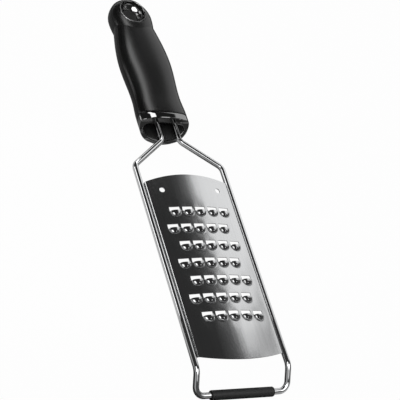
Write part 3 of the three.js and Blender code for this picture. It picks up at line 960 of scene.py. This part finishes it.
# A closed grid: over the top from the hole to the outline, back under the head, and up inside
turn = around[:, None]
outline = head_outline(turn)
first = np.arcsin((hole_wall / outline) ** (head_power / 2))
lean = first + (math.pi / 2 - first) * np.linspace(0, 1, head_rows)
over_r = outline * np.sin(lean) ** (2 / head_power)
rise = np.cos(lean) ** (2 / head_power)
over_z = widest_height + (handle_top - head_dip - widest_height) * rise
below_z = widest_height - widest_height * rise
up_share = np.linspace(0, 1, wall_rows + 2)[1:-1]
wall_z = below_z[:, :1] * (1 - up_share) + over_z[:, :1] * up_share
radius = np.concatenate([over_r, over_r[:, -2::-1], np.full((angles, wall_rows), hole_wall)], axis=1)
height = np.concatenate([over_z, below_z[:, -2::-1], wall_z], axis=1)
head_points = in_place(eyelet_place + radius * np.cos(turn), radius * np.sin(turn), height)
head_faces = closed_faces(head_points, angles)
points = np.concatenate([body_points, head_points])
faces = body_faces + [group + len(body_points) for group in head_faces]
soft_grip = put_mesh("soft_grip", points, faces, crease=55)
dress(soft_grip, "grip", grip_soft)

# %% [markdown]
# ## Front of the mouth
#
# In front, the grip gives way to a hard mouth piece. Its front is upright at the top, and a little hollow
# seen from above; below that the lips rake forward to the chin, round a deep hollow with a flat roof. The
# outer edge has a small chamfer, strongest in the middle of the top. A Bevel modifier gives an edge one
# width, so the chamfer is worked out with the front instead.

# %% Front of the mouth piece
narrow_inset, lip_width, rim_round, seam_round = skin + gap, 2.7, 0.6, 0.12
collar_depth, floor_thickness, roof_below_rail, roof_round, brow_bow = 22, 4, 0.85, 4.5, 57.0
chamfer_least, chamfer_gain, chamfer_fade, chamfer_angle = 0.3, 0.7, (14, 8), 29
front_face_rows, roof_margin = 19, 1e-6

chamfer_slope = math.tan(math.radians(chamfer_angle))
collar_rear = brow_place - collar_depth - rear_place
hollow_floor = collar_rear + floor_thickness
hollow_roof = rail_height - roof_below_rail
shoulder_y = handle_section(shoulder_place, 0.0)[0]
rim_chamfer = chamfer_least + chamfer_gain * ease(*chamfer_fade, np.abs(shoulder_y))


def hollow_outline(place):
    """Y and Z of the hollow: the handle's section, drawn in, under a flat roof with round ends."""
    y, z = handle_section(place, lip_width)
    beyond = np.clip(np.abs(y) - shoulder_width / 2 + lip_width + roof_round, 0, roof_round)
    return y, np.minimum(z, hollow_roof - roof_round + np.sqrt(roof_round**2 - beyond**2))


def front_place(y, z):
    """Place of the front: the rake, and over the roof no further than the brow's arc."""
    raked = edge_place(z, mouth_places)
    arc = brow_place - rear_place + y**2 / (2 * brow_bow)
    return np.where(z > hollow_roof - roof_margin, np.minimum(raked, arc), raked)


def front_rings(rim, mouth_edge):
    """Rings across the front, from the chamfered outer rim to the hollow's rounded edge."""
    outer_y, outer_z = handle_section(rim, 0.0)
    inner_y, inner_z = hollow_outline(mouth_edge)
    span = np.hypot(outer_y - inner_y, outer_z - inner_z)
    radius = np.minimum(rim_round, span / 2)
    share = (1 - np.cos(np.linspace(0, math.pi, front_face_rows))) / 2
    y, z = between(outer_y, inner_y, share), between(outer_z, inner_z, share)
    share = share[:, None]
    short = np.maximum(radius - (1 - share) * span, 0)
    rounded = radius - np.sqrt(np.maximum(radius**2 - short**2, 0))
    back = np.maximum(rounded, rim_chamfer - share * span / chamfer_slope)
    return in_place(rear_place + front_place(y, z) - back, y, z).reshape(-1, angles, 3)


print("chamfer of the mouth:", rim_chamfer.min(), "to", rim_chamfer.max(), "mm")

# %% [markdown]
# ## The glossy mouth piece
#
# The mouth piece lies flush with the grip, with a fine seam between them, and behind the seam a narrower
# part runs on under the skin of the grip. It could be a solid with a cut-out, but rings that run along the
# outside, across the front and back into the hollow make it one closed grid. The hollow is left as moulded,
# so its rings are marked as dull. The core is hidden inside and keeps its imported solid.

# %% Mouth piece
narrow_rows, seam_rows, hollow_rows = 12, 5, 16
outside_shares = np.linspace(0.2, 1, 9)


def outer_rings(seam, rim):
    """Rings along the narrow part, round the edge at the seam, and along the outside to the chamfer."""
    turn = np.linspace(0, math.pi / 2, seam_rows)[:, None]
    narrow = section_rings(between(collar_rear, seam, np.linspace(0, 1, narrow_rows)), narrow_inset)
    edge = section_rings(seam + seam_round * (1 - np.sin(turn)), seam_round * (1 - np.cos(turn)))
    outside = section_rings(between(seam, rim - rim_chamfer, outside_shares), 0.0)
    return np.concatenate([narrow, edge, outside])


rim = meeting_place(mouth_places)
mouth_edge = front_place(*hollow_outline(rim))
shown = np.concatenate([outer_rings(seam + gap, rim), front_rings(rim, mouth_edge)[1:-1]])
place = between(hollow_floor, mouth_edge - rim_round, np.linspace(1, 0, hollow_rows))
inside = in_place(rear_place + place, *hollow_outline(place)).reshape(-1, angles, 3)
points, faces = handle_shell(np.concatenate([shown, inside]))
mouth_piece = put_mesh("glossy_mouth", points, faces, crease=22)
dull = np.zeros(len(points))
dull[len(shown) * angles : -2] = 1
dull[-1] = 1
mark_points(mouth_piece, "dull", dull)
dress(mouth_piece, "front_collar", gloss_black)

core = frame["nodes"]["handle_core"]
core.data.materials.clear()
core.data.materials.append(core_plastic)
print("core keeps its packed solid, with", core.data.materials[0].name)

# %% [markdown]
# ## Floor
#
# The grater is shown on plain white. A matt floor would need so much light that the steel would wash out,
# so to the camera the floor glows white, but for a small matt share that keeps a faint shadow. Polished
# steel shows little but its surroundings, so reflections see another floor, with painted light and shade:
# its glow is pale only beside the blade, and its matt colour is painted dark but on the near side beside it.

# %% Floor
floor_reach, white_share = 4.0, 0.985


def put_quad(name, corners):
    """An object of one four-sided face."""
    mesh = bpy.data.meshes.new(name)
    mesh.from_pydata(corners, [], [(0, 1, 2, 3)])
    return put_object(name, mesh)


finish = new_finish("floor_white")
seen = finish.node("ShaderNodeLightPath", output="Is Camera Ray")
mirrored = finish.node("ShaderNodeLightPath", output="Is Glossy Ray")
ahead, side = finish.axis(0), finish.axis(1)
near = finish.fall(side, -0.04, 0.03) * finish.fall(ahead, 0.08, 0.14)
beyond = 1 - finish.fall(side, 0.02, 0.05)
beside_blade = 1 - finish.fall(ahead, -0.07, -0.035)
# Painted shadow: the matt floor is dark everywhere but on the near side beside the blade
pale = finish.shade(near * (0.2 + 0.8 * beside_blade), grey(0.05), grey(0.8))
matt = finish.node("ShaderNodeBsdfDiffuse", {}, {"Color": pale})
white = finish.node("ShaderNodeEmission", {}, {"Color": grey(1.0), "Strength": 1.0})
# Painted light: a white glow that only reflections see, on the near side and, beside the blade, beyond its
# far side
mirror_share = near * (0.15 + 0.3 * beside_blade) + 0.75 * beyond * beside_blade
share = white_share * (seen + mirrored * mirror_share)
mixed = finish.node("ShaderNodeMixShader", {}, {0: share, 1: matt, 2: white})

corners = [(-1, -1), (1, -1), (1, 1), (-1, 1)]
floor = put_quad("floor", [(x * floor_reach, y * floor_reach, 0) for x, y in corners])
floor.data.materials.append(finish.output(mixed))
print("floor:", 2 * floor_reach, "m wide")

# %% [markdown]
# ## Glows round the grater
#
# The world is what the steel and the plastic mirror: dark, with a few glows. A picture of a studio could be
# wrapped round it. Here each glow is a product of smooth steps in the direction of a ray, so that a number
# moves it: a broad one low behind the handle, which climbs towards the far side, and a weaker one on the
# near side. Faint ones in front keep the steel looking like steel from other sides.

# %% World
finish = Finish(bpy.data.worlds.new("studio"))
ahead, side, up = (finish.axis(number, "Generated") for number in range(3))
far = finish.fall(up - 0.6 * side, 0.24, 0.3) * finish.fall(ahead, -0.45, -0.15)
near = finish.fall(up, 0.05, 0.3) * finish.fall(side, -0.5, 0.1) * finish.fall(ahead, -0.35, -0.15)
front = 1 - finish.fall(ahead, -0.3, 0.0)
haze = finish.fall(up, 0.5, 0.8)
close = finish.fall(side, -0.62, -0.3) * finish.fall(up, 0.4, 0.65)
corner = (1 - finish.fall(side, 0.25, 0.5)) * (1 - finish.fall(ahead, 0.2, 0.5))
corner = corner * finish.fall(up, 0.12, 0.3)
color = 0.035 + 1.05 * far + 0.5 * near + front * (0.06 * haze + 0.34 * close) + 0.35 * corner
back = finish.node("ShaderNodeBackground", {}, {"Color": color, "Strength": 1.0})
bpy.context.scene.world = finish.output(back, "ShaderNodeOutputWorld")
print("world:", len(finish.tree.nodes), "nodes")

# %% [markdown]
# ## Lamps
#
# One large lamp could light everything, but its reflection would flood the black plastic. So each lamp
# draws one kind of highlight: the bright box on the grip and the mouth piece, the overhead box on the
# scoops, the eyelet box in the hanging hole, the small box on the rim of the mouth, the side strip on the
# near bend and the rails, the corner strip on the near corner of the mouth, and the toe box on the legs and
# the bar.

# %% Lamps
def squared_to(direction):
    """Axes of a card that faces against a direction, with its first axis as near to +X as that allows."""
    away = np.array(direction) / np.linalg.norm(direction)
    along = np.array([1.0, 0.0, 0.0]) - away[0] * away
    along /= np.linalg.norm(along)
    return along, np.cross(away, along), away


def placed(spot, axes):
    """Turn and place of an object whose own axes point along three given ones."""
    return Matrix.Translation(spot.tolist()) @ Matrix(np.stack(axes, axis=1).tolist()).to_4x4()


def make_lamp(name, target, direction, distance, size, brightness, roll, spread):
    """An area lamp that looks at a target from a direction, at a distance in metres. Roll and spread, the
    full angle of its cone, are in degrees; a narrow cone gathers light, so the energy is cut by that gain."""
    data = bpy.data.lights.new(name, "AREA")
    data.shape = "RECTANGLE"
    data.size, data.size_y = size
    data.spread = math.radians(spread)
    half = math.radians(spread) / 2
    gain = math.tan(half) / (math.tan(half) - half)
    data.energy = brightness * math.pi * size[0] * size[1] / gain
    lamp = put_object(name, data)
    axes = squared_to(direction)
    spot = np.array(target) + distance * axes[2]
    lamp.matrix_world = placed(spot, axes) @ Matrix.Rotation(math.radians(roll), 4, "Z")
    lamp.visible_camera = False


# Name, target, direction, distance, size, brightness, roll and spread
lamps = [
    ("bright_box", (-0.107, -0.0145, 0.018), (-0.477, 0.245, 0.844), 0.2, (0.102, 0.038), 4.4, 17, 180),
    ("overhead_box", (0.03, 0, 0.018), (0.27, -0.41, 0.87), 0.7, (0.38, 0.34), 2.0, 0, 180),
    ("eyelet_box", (-0.1436, 0, 0.016), (0.36, -0.40, 0.84), 0.12, (0.1, 0.07), 8.0, 0, 76),
    ("small_box", (0.03, 0, 0.018), (0.23, 0.49, 0.84), 0.7, (0.11, 0.07), 1.8, 0, 180),
    ("side_strip", (0.06, 0, 0.01), (-0.49, -0.76, 0.42), 0.6, (0.22, 0.2), 1.9, 0, 180),
    ("corner_strip", (-0.05, -0.019, 0.0145), (-0.534, -0.842, 0.1), 0.4, (0.06, 0.08), 3.0, 0, 24),
    ("toe_box", (0.183, 0.008, 0.01), (0, 0, 1), 0.06, (0.065, 0.13), 3.2, 0, 110),
]
for lamp in lamps:
    make_lamp(*lamp)
print("lamps:", len(lamps))

# %% [markdown]
# ## Pale card
#
# The bright half of the blade mirrors a pale card. A lamp could take its place, but a lamp is equally
# bright all over, and the card fades along its slope. It is seen only in reflections.

# %% Pale card
card_middle, card_slant, card_reach = np.array([0.0, 0.1767, 0.2147]), math.radians(48), 0.095
card_start, card_end, card_strength = -0.175, 0.035, 1.1
card_dim, corner_lean, corner_fade = 0.4, 1.2, (-0.02, 0.1)
# Metres up the slope from its middle, and the brightness there
card_fade = [(-0.008, 1.0), (0.008, 0.95), (0.016, 0.75), (0.024, 0.42)]
card_fade += [(0.034, 0.22), (0.053, 0.09), (0.09, 0.04)]

# The slope leaves the middle at an angle to the floor; the card runs along X from its start to its end
uphill = np.array([0.0, -math.sin(card_slant), math.cos(card_slant)])
low, high = card_middle - card_reach * uphill, card_middle + card_reach * uphill
edges = [(card_start, low), (card_end, low), (card_end, high), (card_start, high)]
card = put_quad("pale_card", [(x, point[1], point[2]) for x, point in edges])
card.visible_camera = False
card.visible_diffuse = False
card.visible_shadow = False

finish = new_finish("pale_card")
ahead, height = finish.axis(0), finish.axis(2)
share = (height - float(low[2])) * float(1 / (high[2] - low[2]))
stops = [((at + card_reach) / (2 * card_reach), grey(level)) for at, level in card_fade]
color = finish.node("ShaderNodeValToRGB", {"stops": stops}, {"Fac": share})
corner = finish.fall(ahead - corner_lean * (height - float(card_middle[2])), *corner_fade)
color = finish.shade(card_dim + (1 - card_dim) * corner, grey(0.0), color)
glow = finish.node("ShaderNodeEmission", {}, {"Color": color, "Strength": card_strength})
card.data.materials.append(finish.output(glow))
print("card:", round(card_end - card_start, 3), "m long")

# %% [markdown]
# ## Camera
#
# A camera can be placed by eye. This one was fitted to corners of the grater in the photograph: the fit
# gives its place, its three axes and its focal length in pixels.

# %% Camera
sensor_width, focal_pixels, image_pixels = 36.0, 1442.2, 400
camera_place = np.array([474.18295 + shift, -491.70594, 686.41145 + face_edge]) * MM
right = np.array([0.2720224, 0.85635463, 0.43893115])
down = np.array([0.83570842, 0.01590094, -0.54894316])
ahead = np.array([-0.47706943, 0.5161433, -0.71133737])

data = bpy.data.cameras.new("camera")
data.sensor_fit = "HORIZONTAL"
data.sensor_width = sensor_width
data.lens = sensor_width * focal_pixels / image_pixels
camera = put_object("camera", data)
camera.matrix_world = placed(camera_place, (right, -down, -ahead))
bpy.context.scene.camera = camera
bpy.context.scene.view_settings.view_transform = "Standard"
print("camera lens", round(data.lens, 1), "mm")
